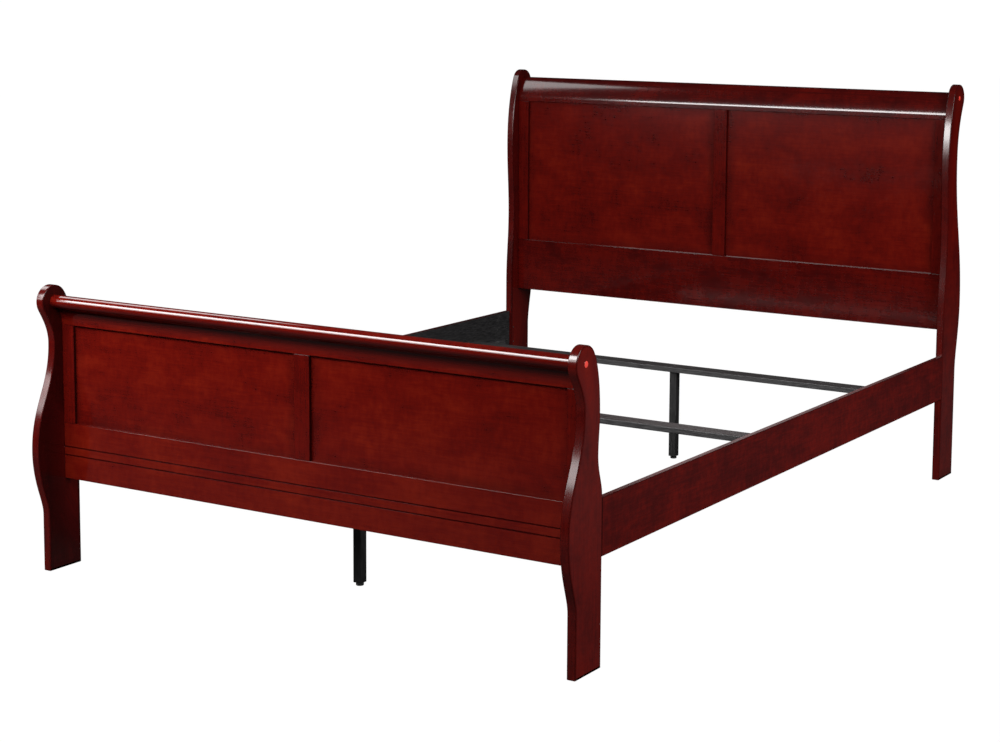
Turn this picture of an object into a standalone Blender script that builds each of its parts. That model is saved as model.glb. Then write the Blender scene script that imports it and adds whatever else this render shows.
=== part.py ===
"""Queen sleigh bed: scrolled headboard and footboard, two hook-on side rails, three slats.

Metres, +Z up, +Y towards the headboard, X across the bed. The origin is on the floor, at the
middle of the bed's length and width. Left is -X, as seen by someone at the foot of the bed.

Both end boards share one joinery: two shaped posts, a rolled top rail, a bottom rail, three
stiles and two thin panels held in grooves. The footboard is the headboard's pattern turned
about, so its scroll also leans away from the mattress.
"""
import bpy
import bmesh
from math import cos, pi, radians, sin
from mathutils import Vector

# ---------------------------------------------------------------- overall sizes
OVERALL_WIDTH = 1.600        # across the outer faces of the posts
RAIL_LENGTH = 2.080          # clear distance between headboard legs and footboard legs
HEADBOARD_HEIGHT = 1.223     # floor to the top of the headboard's scroll
FOOTBOARD_HEIGHT = 0.742     # floor to the top of the footboard's scroll

# ---------------------------------------------------------------- posts
POST_THICK = 0.023
LEG_DEPTH = 0.110            # leg, measured along the bed
SCROLL_RADIUS = 0.042
HEADBOARD_SCROLL_OUT = 0.077       # scroll centre, outwards from the leg's mattress face
FOOTBOARD_SCROLL_OUT = 0.076
HEADBOARD_NECK_OUT = 0.0755        # scroll side of the neck under each scroll
FOOTBOARD_NECK_OUT = 0.080
HEADBOARD_BULGE = 0.0273           # headboard post's belly, behind its leg
FOOTBOARD_BULGE = 0.034            # footboard post's belly, in front of its leg
POST_EDGE_ROUND = 0.0022
# Each post's sides, from the scroll's top down: distance outwards from the leg's mattress face,
# drop below the top, and the shares of the bend that keep upright where it leaves and arrives.
HEADBOARD_FLARE_DROP = 0.893       # where the leg starts to swell
HEADBOARD_BELLY = (0.675, 0.28, 0.44)
HEADBOARD_NECK = (0.233, 0.40, 0.42)
HEADBOARD_NECK_PULL = 0.090        # how gently the neck swings out into the scroll
HEADBOARD_BACK = ((0.002, 0.250), (0.012, 0.490, 0.40, 0.40), (0.0, 0.730, 0.40, 0.40))
HEADBOARD_ROLL = (25, 22, 0.050)   # degrees under and over the scroll, and how long its back falls
FOOTBOARD_FLARE_DROP = 0.594
FOOTBOARD_BELLY = (0.424, 0.23, 0.50)
FOOTBOARD_NECK = (0.150, 0.44, 0.42)
FOOTBOARD_NECK_PULL = 0.040
FOOTBOARD_BACK = ((0.013, 0.160), (0.0185, 0.254, 0.40, 0.40), (0.0, 0.346, 0.40, 0.30))
FOOTBOARD_ROLL = (27, 35, 0.032)
CURVE_STEPS = 9              # straight pieces to each curved stretch of an outline
SCROLL_STEPS = 16            # and to each rolled stretch

# ---------------------------------------------------------------- framed boards
FRAME_THICK = 0.022
SIDE_STILE_WIDTH = 0.039
CENTRE_STILE_WIDTH = 0.046
PANEL_THICK = 0.006
GROOVE_DEPTH = 0.0085        # for the panels and the stiles' tongues
NOSE_RADIUS = 0.017          # rolled top edge of a top rail
NOSE_OVER = 46               # degrees above level where the mattress side leaves the nose
NOSE_FALL = 0.020            # how long the lean keeps that direction
COVE_RISE = 0.022            # how far the outer cove keeps upright
COVE_REACH = 0.014           # and how far it runs level under the nose
COVE_DIP = 0.002             # slope of that run, so the cove turns into the nose
LIP_HEIGHT = 0.013           # upright face at the foot of a top rail
TENON_LENGTH = 0.012
TENON_THICK = 0.010
TENON_SHOULDER = 0.018
HEADBOARD_FRAME_SETBACK = 0.0405   # leg's mattress face to the frame's mattress face
FOOTBOARD_FRAME_SETBACK = 0.0300
HEADBOARD_RAIL_BOTTOM = 0.465
HEADBOARD_RAIL_TOP = 0.638
HEADBOARD_TOP_RAIL_BOTTOM = 1.116
FOOTBOARD_RAIL_BOTTOM = 0.235
FOOTBOARD_RAIL_TOP = 0.381
FOOTBOARD_TOP_RAIL_BOTTOM = 0.637
BEAD_HEIGHTS = (0.297, 0.319)      # two V-grooves along the footboard's bottom rail
BEAD_WIDTH = 0.0036
BEAD_DEPTH = 0.0022

# ---------------------------------------------------------------- side rails and slats
SIDE_RAIL_THICK = 0.016
SIDE_RAIL_BOTTOM = 0.255
SIDE_RAIL_HEIGHT = 0.135
SIDE_RAIL_EDGE_ROUND = 0.0015
CLEAT_SIZE = 0.022
CLEAT_TOP = 0.300
CLEAT_SETBACK = 0.060        # cleat end to rail end, clear of the hook plate's pins
SLAT_WIDTH = 0.057
SLAT_THICK = 0.016
SLAT_END_GAP = 0.0015
SLAT_FROM_FOOT = {"front": 0.175, "middle": 1.047, "rear": 1.832}

# ---------------------------------------------------------------- centre legs and feet
CENTRE_LEG_SIDE = 0.024
FOOT_FLOOR_GAP = 0.0175      # how far the wound-up feet hang above the floor
FOOT_PAD_RADIUS = 0.010
FOOT_PAD_HEIGHT = 0.006
FOOT_NECK = 0.002            # stud showing between pad and leg
STUD_RADIUS = 0.004
STUD_GRIP = 0.030            # stud inside the leg with the foot wound up
FOOT_CHAMFER = 0.001

# ---------------------------------------------------------------- hardware
HOOK_PLATE_THICK = 0.0025
HOOK_PLATE_HEIGHT = 0.092
HOOK_PLATE_GRIP = 0.034      # plate inside the side rail
HOOK_REACH = 0.021           # hooks past the rail's end, inside the post
HOOK_TAB = 0.018
HOOK_LIFT = 0.014            # room above the hooks to lift the rail off its pins
HOOK_HEEL = 0.004            # clear step under each hook's arm
POST_PIN_HEIGHTS = (0.281, 0.332)
POST_PIN_SETBACK = 0.014     # pin centre behind the post's face
RAIL_PIN_HEIGHTS = (0.292, 0.334)
RAIL_PIN_SETBACK = 0.016     # pin centre behind the rail's end
PIN_RADIUS = 0.0025
PIN_COVER = 0.0035           # wood left between a pin's end and the outer face
PLUG_RADIUS = 0.0075
PLUG_DEPTH = 0.008
PLUG_CROWN = 0.001
LEG_SCREW_RADIUS = 0.003
LEG_SCREW_LENGTH = 0.055
LEG_SCREW_HEAD_RADIUS = 0.0065
LEG_SCREW_HEAD = 0.0035
LEG_SCREW_RIM = 0.4          # share of the head's height that is upright, and of its radius that
LEG_SCREW_TOP = 0.6          # is flat on top

GAP = 0.0003                 # between two pieces that touch
OVERCUT = 0.002              # how far a cutter runs past the face it opens

# ---------------------------------------------------------------- places that follow
HALF_WIDTH = OVERALL_WIDTH / 2
POST_INNER = HALF_WIDTH - POST_THICK
RAIL_INNER = HALF_WIDTH - SIDE_RAIL_THICK
FRAME_HALF = POST_INNER - GAP
TOTAL_LENGTH = FOOTBOARD_BULGE + LEG_DEPTH + RAIL_LENGTH + LEG_DEPTH + HEADBOARD_BULGE
FOOT_LEG_OUTER = FOOTBOARD_BULGE - TOTAL_LENGTH / 2
FOOT_LEG_INNER = FOOT_LEG_OUTER + LEG_DEPTH
HEAD_LEG_INNER = FOOT_LEG_INNER + RAIL_LENGTH
SLAT_BOTTOM = CLEAT_TOP + GAP
SLAT_TOP = SLAT_BOTTOM + SLAT_THICK
LEG_BOTTOM = FOOT_FLOOR_GAP + FOOT_PAD_HEIGHT + FOOT_NECK


# ---------------------------------------------------------------- Blender helpers
def clear_scene():
    for obj in list(bpy.data.objects):
        bpy.data.objects.remove(obj, do_unlink=True)


def material(name, colour, roughness, metallic=0.0):
    mat = bpy.data.materials.new(name)
    mat.use_nodes = True
    shader = mat.node_tree.nodes["Principled BSDF"]
    shader.inputs["Base Color"].default_value = (*colour, 1.0)
    shader.inputs["Roughness"].default_value = roughness
    shader.inputs["Metallic"].default_value = metallic
    return mat


def new_object(name, mesh_builder, mat):
    """Link an object whose mesh is made by mesh_builder(bmesh)."""
    mesh = bpy.data.meshes.new(name)
    bm = bmesh.new()
    mesh_builder(bm)
    bmesh.ops.recalc_face_normals(bm, faces=bm.faces)
    bm.to_mesh(mesh)
    bm.free()
    obj = bpy.data.objects.new(name, mesh)
    bpy.context.scene.collection.objects.link(obj)
    if mat:
        mesh.materials.append(mat)
    return obj


def prism(bm, outline, axis, low, high):
    """Extrude a closed outline from low to high along an axis.

    The outline's two numbers are the other two axes, in X, Y, Z order.
    """
    def point(pair, along):
        values = list(pair)
        values.insert(axis, along)
        return Vector(values)

    base = bm.faces.new([bm.verts.new(point(pair, low)) for pair in outline])
    grown = bmesh.ops.extrude_face_region(bm, geom=[base])["geom"]
    moved = [item for item in grown if isinstance(item, bmesh.types.BMVert)]
    bmesh.ops.translate(bm, verts=moved, vec=point((0, 0), high - low))


def prism_object(name, outline, axis, low, high, mat=None):
    return new_object(name, lambda bm: prism(bm, outline, axis, low, high), mat)


def box_object(name, low, high, mat=None):
    outline = [(low[0], low[1]), (high[0], low[1]), (high[0], high[1]), (low[0], high[1])]
    return prism_object(name, outline, 2, low[2], high[2], mat)


def turned_object(name, profile, centre, direction, mat=None, sides=20):
    """Turn (radius, height) pairs about an axis that leaves centre along direction."""
    def build(bm):
        rings = []
        for radius, height in profile:
            if radius == 0:
                rings.append([bm.verts.new((0, 0, height))])
                continue
            angles = [2 * pi * step / sides for step in range(sides)]
            rings.append([bm.verts.new((radius * cos(a), radius * sin(a), height)) for a in angles])
        for lower, upper in zip(rings, rings[1:]):
            for step in range(sides):
                after = (step + 1) % sides
                corners = [lower[step % len(lower)], lower[after % len(lower)],
                           upper[after % len(upper)], upper[step % len(upper)]]
                bm.faces.new(list(dict.fromkeys(corners)))
        turn = Vector((0, 0, 1)).rotation_difference(Vector(direction)).to_matrix()
        bmesh.ops.rotate(bm, verts=bm.verts, cent=(0, 0, 0), matrix=turn)
        bmesh.ops.translate(bm, verts=bm.verts, vec=centre)

    obj = new_object(name, build, mat)
    obj.data.shade_smooth()
    obj.data.set_sharp_from_angle(angle=radians(35))
    return obj


def cylinder_object(name, radius, length, centre, direction, mat=None, sides=20):
    profile = [(0, 0), (radius, 0), (radius, length), (0, length)]
    return turned_object(name, profile, centre, direction, mat, sides)


def boolean(target, tool, operation):
    """Cut tool out of target, or join it on, and keep tool as a hidden guide."""
    step = target.modifiers.new(operation.lower() + "_" + tool.name, "BOOLEAN")
    step.object = tool
    step.operation = operation
    step.solver = "EXACT"
    tool.hide_render = True
    tool.display_type = "WIRE"


def cut(target, tool):
    boolean(target, tool, "DIFFERENCE")


def join(target, tool):
    boolean(target, tool, "UNION")


def round_edges(obj, width, segments=1):
    bevel = obj.modifiers.new("round_edges", "BEVEL")
    bevel.width = width
    bevel.segments = segments
    bevel.limit_method = "ANGLE"
    bevel.angle_limit = radians(50)


# ---------------------------------------------------------------- outlines
def bezier(start, start_pull, end_pull, end, steps=CURVE_STEPS):
    """Points of a cubic curve after its start, up to and including its end."""
    points = []
    for step in range(1, steps + 1):
        t = step / steps
        u = 1 - t
        weights = (u ** 3, 3 * u * u * t, 3 * u * t * t, t ** 3)
        anchors = (start, start_pull, end_pull, end)
        points.append(tuple(sum(w * a[i] for w, a in zip(weights, anchors)) for i in (0, 1)))
    return points


def rise(start, end, leave, arrive):
    """An S-bend that is upright at both ends.

    leave and arrive are how far the bend keeps upright, as shares of its height.
    """
    height = end[1] - start[1]
    return bezier(start, (start[0], start[1] + leave * height),
                  (end[0], end[1] - arrive * height), end)


def arc(centre, radius, first, last, steps):
    """Points on a circle from one angle to another, in degrees, both ends included."""
    angles = [radians(first + (last - first) * step / steps) for step in range(steps + 1)]
    return [(centre[0] + radius * cos(a), centre[1] + radius * sin(a)) for a in angles]


def post_outline(scroll, outer, neck_pull, inner):
    """Side view of a post as (distance outwards from the leg's mattress face, height).

    outer and inner list the stations below the scroll on its two sides, outer from the leg up
    and inner from the scroll down. Each is (distance, height, leave, arrive) for the bend that
    reaches it.
    """
    centre = scroll.centre
    points = [(0.0, 0.0), (LEG_DEPTH, 0.0), outer[0]]
    for out, up, leave, arrive in outer[1:]:
        points += rise(points[-1], (out, up), leave, arrive)
    # From the neck the outline swings out and runs tangent into the scroll.
    under = radians(scroll.under)
    touch = (centre[0] + SCROLL_RADIUS * cos(under), centre[1] - SCROLL_RADIUS * sin(under))
    neck = points[-1]
    points += bezier(neck, (neck[0], neck[1] + neck_pull),
                     (touch[0] - neck_pull / 2 * sin(under), touch[1] - neck_pull / 2 * cos(under)), touch)
    points += arc(centre, SCROLL_RADIUS, -scroll.under, 180 - scroll.over, SCROLL_STEPS)[1:]
    # It leaves the scroll over the top and falls away on the mattress side.
    over = radians(scroll.over)
    top = points[-1]
    shoulder = inner[0]
    points += bezier(top, (top[0] - scroll.fall * sin(over), top[1] - scroll.fall * cos(over)),
                     (shoulder[0], shoulder[1] + 2 * scroll.fall), shoulder)
    for out, up, leave, arrive in inner[1:]:
        points += rise(points[-1], (out, up), leave, arrive)
    return points


class Scroll:
    """A rolled top: its centre, where it meets the neck and where it lets go, in degrees."""

    def __init__(self, out, height, under, over, fall):
        self.centre = (out, height - SCROLL_RADIUS)
        self.under = under
        self.over = over
        self.fall = fall


def board_post_outline(height, scroll, belly_out, neck_out, flare_drop, belly, neck, neck_pull, back):
    """A post's side view from its named stations, whose drops are measured from its top."""
    outer = [
        (LEG_DEPTH, height - flare_drop),
        (belly_out, height - belly[0], *belly[1:]),
        (neck_out, height - neck[0], *neck[1:]),
    ]
    inner = [(out, height - drop, *shares) for out, drop, *shares in back]
    return post_outline(scroll, outer, neck_pull, inner)


def top_rail_outline(setback, bottom, nose):
    """Section of a top rail as (distance outwards, height), round the rolled nose.

    The nose is centred on the posts' scrolls. Outside, a cove runs from the frame's face up to
    the nose, and on the mattress side the rail leans back from a low upright lip.
    """
    outer_face = setback + FRAME_THICK
    under_nose = (nose[0], nose[1] - NOSE_RADIUS)
    points = [(outer_face, bottom)]
    points += bezier(points[0], (outer_face, bottom + COVE_RISE),
                     (under_nose[0] - COVE_REACH, under_nose[1] - COVE_DIP), under_nose)
    points += arc(nose, NOSE_RADIUS, -90, 180 - NOSE_OVER, SCROLL_STEPS)[1:]
    over = radians(NOSE_OVER)
    top = points[-1]
    lip = (setback, bottom + LIP_HEIGHT)
    points += bezier(top, (top[0] - NOSE_FALL * sin(over), top[1] - NOSE_FALL * cos(over)),
                     (lip[0], lip[1] + NOSE_FALL / 2), lip)
    points.append((setback, bottom))
    middle = setback + FRAME_THICK / 2
    half = PANEL_THICK / 2 + GAP
    points += [(middle - half, bottom), (middle - half, bottom + GROOVE_DEPTH),
               (middle + half, bottom + GROOVE_DEPTH), (middle + half, bottom)]
    return points


def bottom_rail_outline(setback, bottom, top, beads):
    """Section of a bottom rail, with the panel groove on top and V-grooves outside."""
    outer_face = setback + FRAME_THICK
    middle = setback + FRAME_THICK / 2
    half = PANEL_THICK / 2 + GAP
    points = [(setback, bottom), (outer_face, bottom)]
    for height in beads:
        points += [(outer_face, height - BEAD_WIDTH / 2), (outer_face - BEAD_DEPTH, height),
                   (outer_face, height + BEAD_WIDTH / 2)]
    points += [(outer_face, top), (middle + half, top), (middle + half, top - GROOVE_DEPTH),
               (middle - half, top - GROOVE_DEPTH), (middle - half, top), (setback, top)]
    return points


# ---------------------------------------------------------------- one end board
class Board:
    """Places for one end board. outward is +1 at the head and -1 at the foot."""

    def __init__(self, name, leg_inner, outward, setback, rails, scroll, outline, beads=()):
        self.name = name
        self.leg_inner = leg_inner
        self.outward = outward
        self.setback = setback
        self.rail_bottom, self.rail_top, self.top_rail_bottom = rails
        self.scroll = scroll
        self.outline = outline
        self.beads = beads

    def y(self, out):
        """Place along the bed of a distance outwards from the leg's mattress face."""
        return self.leg_inner + self.outward * out

    def place(self, outline):
        return [(self.y(out), up) for out, up in outline]

    def y_span(self, near, far):
        return sorted((self.y(near), self.y(far)))

    @property
    def scroll_centre(self):
        return self.y(self.scroll.centre[0]), self.scroll.centre[1]


def block(name, x_span, y_span, z_span, mat=None):
    low = (min(x_span), min(y_span), min(z_span))
    high = (max(x_span), max(y_span), max(z_span))
    return box_object(name, low, high, mat)


def tenon_blocks(board, side, grow, reach):
    """Box spans of a bottom rail's tenon, grown by a clearance on every side."""
    middle = board.setback + FRAME_THICK / 2
    half = TENON_THICK / 2 + grow
    x_span = (side * (FRAME_HALF - OVERCUT), side * (POST_INNER + reach))
    z_span = (board.rail_bottom + TENON_SHOULDER - grow, board.rail_top - TENON_SHOULDER + grow)
    return x_span, board.y_span(middle - half, middle + half), z_span


def make_post(board, side, label, mats):
    name = board.name + "_post_" + label
    x_span = sorted((side * POST_INNER, side * HALF_WIDTH))
    post = prism_object(name, board.place(board.outline), 0, x_span[0], x_span[1], mats["post"])
    round_edges(post, POST_EDGE_ROUND)

    mortise = block(name + "_mortise", *tenon_blocks(board, side, GAP, TENON_LENGTH + GAP))
    cut(post, mortise)

    y, z = board.scroll_centre
    outer = (side * (HALF_WIDTH + OVERCUT), y, z)
    recess = cylinder_object(name + "_plug_recess", PLUG_RADIUS + GAP, PLUG_DEPTH + GAP + OVERCUT, outer,
                             (-side, 0, 0), None, 20)
    cut(post, recess)

    slot_y = board.y_span(-OVERCUT, HOOK_REACH + GAP)
    slot_z = (POST_PIN_HEIGHTS[0] - HOOK_TAB / 2 - GAP, POST_PIN_HEIGHTS[1] + HOOK_TAB / 2 + HOOK_LIFT)
    cut(post, block(name + "_hook_slot", hook_plate_span(side, GAP), slot_y, slot_z))
    for level, height in zip(("lower", "upper"), POST_PIN_HEIGHTS):
        start = (side * (POST_INNER - OVERCUT), board.y(POST_PIN_SETBACK), height)
        bore = cylinder_object(name + "_pin_hole_" + level, PIN_RADIUS + GAP,
                               POST_THICK - PIN_COVER + GAP + OVERCUT, start, (side, 0, 0), None, 16)
        cut(post, bore)


def make_plug(board, side, label, mats):
    """A turned plug with a slightly domed face, let into the middle of a scroll."""
    profile = [(0, 0), (PLUG_RADIUS, 0), (PLUG_RADIUS, PLUG_DEPTH)]
    for step in (1, 2):
        angle = pi / 2 * step / 3
        profile.append((PLUG_RADIUS * cos(angle), PLUG_DEPTH + PLUG_CROWN * sin(angle)))
    profile.append((0, PLUG_DEPTH + PLUG_CROWN))
    y, z = board.scroll_centre
    base = (side * (HALF_WIDTH - PLUG_DEPTH), y, z)
    turned_object(board.name + "_plug_" + label, profile, base, (side, 0, 0), mats["plug"], 20)


def make_pins(prefix, face, y, heights, side, mats):
    """Two cross pins driven in from an inner face, across a hook plate's slot."""
    length = HALF_WIDTH - PIN_COVER - face
    for level, height in zip(("lower", "upper"), heights):
        cylinder_object(prefix + "_" + level, PIN_RADIUS, length, (side * face, y, height), (side, 0, 0),
                        mats["steel"], 16)


def make_top_rail(board, mats):
    outline = board.place(top_rail_outline(board.setback, board.top_rail_bottom, board.scroll.centre))
    prism_object(board.name + "_top_rail", outline, 0, -FRAME_HALF, FRAME_HALF, mats["rail"])


def make_bottom_rail(board, mats):
    outline = board.place(bottom_rail_outline(board.setback, board.rail_bottom, board.rail_top,
                                              board.beads))
    name = board.name + "_bottom_rail"
    rail = prism_object(name, outline, 0, -FRAME_HALF, FRAME_HALF, mats["rail"])
    for side, label in ((-1, "left"), (1, "right")):
        spans = tenon_blocks(board, side, 0, TENON_LENGTH)
        join(rail, block(name + "_tenon_" + label, *spans))


def stile_spans():
    """Label, low X and high X of the three stiles."""
    inner = FRAME_HALF - SIDE_STILE_WIDTH
    half = CENTRE_STILE_WIDTH / 2
    return (("left", -FRAME_HALF, -inner), ("centre", -half, half), ("right", inner, FRAME_HALF))


def make_stile(board, label, low, high, mats):
    """A stile with a tongue at each end and a groove along each edge that meets a panel."""
    name = board.name + "_stile_" + label
    middle = board.setback + FRAME_THICK / 2
    body_y = board.y_span(board.setback, board.setback + FRAME_THICK)
    body_z = (board.rail_top + GAP, board.top_rail_bottom - GAP)
    stile = block(name, (low, high), body_y, body_z, mats["rail"])
    tongue_y = board.y_span(middle - PANEL_THICK / 2, middle + PANEL_THICK / 2)
    tongue_z = (board.rail_top - GROOVE_DEPTH + GAP, board.top_rail_bottom + GROOVE_DEPTH - GAP)
    inset = GROOVE_DEPTH
    tongue_low = low if label == "left" else low + inset
    tongue_high = high if label == "right" else high - inset
    join(stile, block(name + "_tongue", (tongue_low, tongue_high), tongue_y, tongue_z))
    groove_y = board.y_span(middle - PANEL_THICK / 2 - GAP, middle + PANEL_THICK / 2 + GAP)
    groove_z = (tongue_z[0] - OVERCUT, tongue_z[1] + OVERCUT)
    if label != "right":
        spans = (high - GROOVE_DEPTH, high + OVERCUT)
        cut(stile, block(name + "_groove_right", spans, groove_y, groove_z))
    if label != "left":
        spans = (low - OVERCUT, low + GROOVE_DEPTH)
        cut(stile, block(name + "_groove_left", spans, groove_y, groove_z))


def make_panel(board, label, low, high, mats):
    """A thin flat panel, held on all four sides in the grooves."""
    middle = board.setback + FRAME_THICK / 2
    held = GROOVE_DEPTH - GAP
    y_span = board.y_span(middle - PANEL_THICK / 2, middle + PANEL_THICK / 2)
    z_span = (board.rail_top - held, board.top_rail_bottom + held)
    block(board.name + "_panel_" + label, (low - held, high + held), y_span, z_span, mats["panel"])


def make_board(board, mats):
    for side, label in ((-1, "left"), (1, "right")):
        make_post(board, side, label, mats)
        make_plug(board, side, label, mats)
        make_pins("post_pin_" + board.name + "_" + label, POST_INNER, board.y(POST_PIN_SETBACK),
                  POST_PIN_HEIGHTS, side, mats)
    make_top_rail(board, mats)
    make_bottom_rail(board, mats)
    stiles = stile_spans()
    for label, low, high in stiles:
        make_stile(board, label, low, high, mats)
    make_panel(board, "left", stiles[0][2], stiles[1][1], mats)
    make_panel(board, "right", stiles[1][2], stiles[2][1], mats)


# ---------------------------------------------------------------- side rails
def hook_plate_span(side, grow=0.0):
    """X span of a hook plate, in the middle of the side rail's thickness."""
    middle = side * (HALF_WIDTH - SIDE_RAIL_THICK / 2)
    half = HOOK_PLATE_THICK / 2 + grow
    return middle - half, middle + half


def hook_plate_bottom():
    return (POST_PIN_HEIGHTS[0] + POST_PIN_HEIGHTS[1] - HOOK_PLATE_HEIGHT) / 2


def hook_outline():
    """Hook plate as (distance past the post's face, height), with two downward hooks."""
    bottom = hook_plate_bottom()
    near = POST_PIN_SETBACK - PIN_RADIUS - GAP
    far = POST_PIN_SETBACK + PIN_RADIUS + GAP
    points = [(-HOOK_PLATE_GRIP, bottom), (-2 * GAP, bottom)]
    for height in POST_PIN_HEIGHTS:
        low = height - HOOK_TAB / 2
        high = height + HOOK_TAB / 2
        points += [(-2 * GAP, low + HOOK_HEEL), (near, low + HOOK_HEEL)]
        points += arc((POST_PIN_SETBACK, height), PIN_RADIUS + GAP, 180, 0, 6)
        points += [(far, low), (HOOK_REACH, low), (HOOK_REACH, high), (-2 * GAP, high)]
    points += [(-2 * GAP, bottom + HOOK_PLATE_HEIGHT), (-HOOK_PLATE_GRIP, bottom + HOOK_PLATE_HEIGHT)]
    return points


def make_side_rail(side, label, boards, mats):
    """A plain board, slotted at each end for a hook plate, with a cleat along its inside."""
    x_span = (side * RAIL_INNER, side * HALF_WIDTH)
    y_span = (FOOT_LEG_INNER + GAP, HEAD_LEG_INNER - GAP)
    z_span = (SIDE_RAIL_BOTTOM, SIDE_RAIL_BOTTOM + SIDE_RAIL_HEIGHT)
    rail = block("side_rail_" + label, x_span, y_span, z_span, mats["side_rail"])
    round_edges(rail, SIDE_RAIL_EDGE_ROUND)
    for board in boards:
        name = "side_rail_" + label + "_" + board.name
        low = hook_plate_bottom() - GAP
        slot_z = (low, low + HOOK_PLATE_HEIGHT + 2 * GAP)
        slot_y = board.y_span(-HOOK_PLATE_GRIP - GAP, OVERCUT)
        cut(rail, block(name + "_slot", hook_plate_span(side, GAP), slot_y, slot_z))
        pin_y = board.y(-RAIL_PIN_SETBACK)
        plate_x = hook_plate_span(side)
        plate = prism_object("rail_hook_" + board.name + "_" + label, board.place(hook_outline()), 0,
                             plate_x[0], plate_x[1], mats["steel"])
        for level, height in zip(("lower", "upper"), RAIL_PIN_HEIGHTS):
            start = (side * (RAIL_INNER - OVERCUT), pin_y, height)
            length = SIDE_RAIL_THICK - PIN_COVER + GAP + OVERCUT
            bore = cylinder_object(name + "_pin_hole_" + level, PIN_RADIUS + GAP, length, start,
                                   (side, 0, 0), None, 16)
            cut(rail, bore)
            cut(plate, bore)
        make_pins("rail_pin_" + board.name + "_" + label, RAIL_INNER, pin_y, RAIL_PIN_HEIGHTS, side, mats)

    cleat_x = (side * (RAIL_INNER - GAP), side * (RAIL_INNER - GAP - CLEAT_SIZE))
    cleat_y = (FOOT_LEG_INNER + CLEAT_SETBACK, HEAD_LEG_INNER - CLEAT_SETBACK)
    block("slat_cleat_" + label, cleat_x, cleat_y, (CLEAT_TOP - CLEAT_SIZE, CLEAT_TOP), mats["black_wood"])


# ---------------------------------------------------------------- slats, legs and feet
def make_leg_screw(row, place, mats):
    """A pan-head screw, down through the slat into the top of the leg."""
    head = LEG_SCREW_HEAD
    tip = 2 * LEG_SCREW_RADIUS
    profile = [(0, -LEG_SCREW_LENGTH), (LEG_SCREW_RADIUS, tip - LEG_SCREW_LENGTH), (LEG_SCREW_RADIUS, 0),
               (LEG_SCREW_HEAD_RADIUS, 0), (LEG_SCREW_HEAD_RADIUS, head * LEG_SCREW_RIM),
               (LEG_SCREW_HEAD_RADIUS * LEG_SCREW_TOP, head), (0, head)]
    turned_object("leg_screw_" + row, profile, place, (0, 0, 1), mats["steel"], 16)


def make_slat(row, mats):
    """A slat across the cleats, screwed down onto its centre leg with the head sunk in."""
    y = FOOT_LEG_INNER + SLAT_FROM_FOOT[row]
    reach = RAIL_INNER - SLAT_END_GAP
    y_span = (y - SLAT_WIDTH / 2, y + SLAT_WIDTH / 2)
    slat = block("slat_" + row, (-reach, reach), y_span, (SLAT_BOTTOM, SLAT_TOP), mats["black_wood"])
    above = (0, y, SLAT_TOP + OVERCUT)
    hole = cylinder_object("leg_screw_" + row + "_hole", LEG_SCREW_RADIUS + GAP,
                           LEG_SCREW_LENGTH + 2 * LEG_SCREW_HEAD + OVERCUT, above, (0, 0, -1), None, 16)
    sink = LEG_SCREW_HEAD + 2 * GAP
    counterbore = cylinder_object("leg_screw_" + row + "_counterbore", LEG_SCREW_HEAD_RADIUS + GAP,
                                  sink + OVERCUT, above, (0, 0, -1), None, 16)
    cut(slat, hole)
    cut(slat, counterbore)
    make_leg_screw(row, (0, y, SLAT_TOP - sink + GAP), mats)
    make_centre_leg(row, y, hole, mats)


def make_centre_leg(row, y, bolt_hole, mats):
    half = CENTRE_LEG_SIDE / 2
    leg = block("centre_leg_" + row, (-half, half), (y - half, y + half), (LEG_BOTTOM, SLAT_BOTTOM - GAP),
                mats["black_leg"])
    cut(leg, bolt_hole)
    stud_hole = cylinder_object("centre_leg_" + row + "_stud_hole", STUD_RADIUS + GAP,
                                STUD_GRIP + 2 * OVERCUT, (0, y, LEG_BOTTOM - OVERCUT), (0, 0, 1),
                                None, 16)
    cut(leg, stud_hole)
    # The foot is wound in and out by hand, so it turns about its stud's axis.
    stud_axis = bpy.data.objects.new("stud_axis_" + row, None)
    stud_axis.location = (0, y, FOOT_FLOOR_GAP)
    bpy.context.scene.collection.objects.link(stud_axis)
    profile = [(0, 0), (FOOT_PAD_RADIUS - FOOT_CHAMFER, 0), (FOOT_PAD_RADIUS, FOOT_CHAMFER),
               (FOOT_PAD_RADIUS, FOOT_PAD_HEIGHT - FOOT_CHAMFER),
               (FOOT_PAD_RADIUS - FOOT_CHAMFER, FOOT_PAD_HEIGHT), (STUD_RADIUS, FOOT_PAD_HEIGHT)]
    stud_top = FOOT_PAD_HEIGHT + FOOT_NECK + STUD_GRIP
    profile += [(STUD_RADIUS, stud_top - FOOT_CHAMFER), (STUD_RADIUS - FOOT_CHAMFER, stud_top), (0, stud_top)]
    foot = turned_object("levelling_foot_" + row, profile, (0, 0, 0), (0, 0, 1), mats["foot"], 16)
    foot.parent = stud_axis


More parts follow.
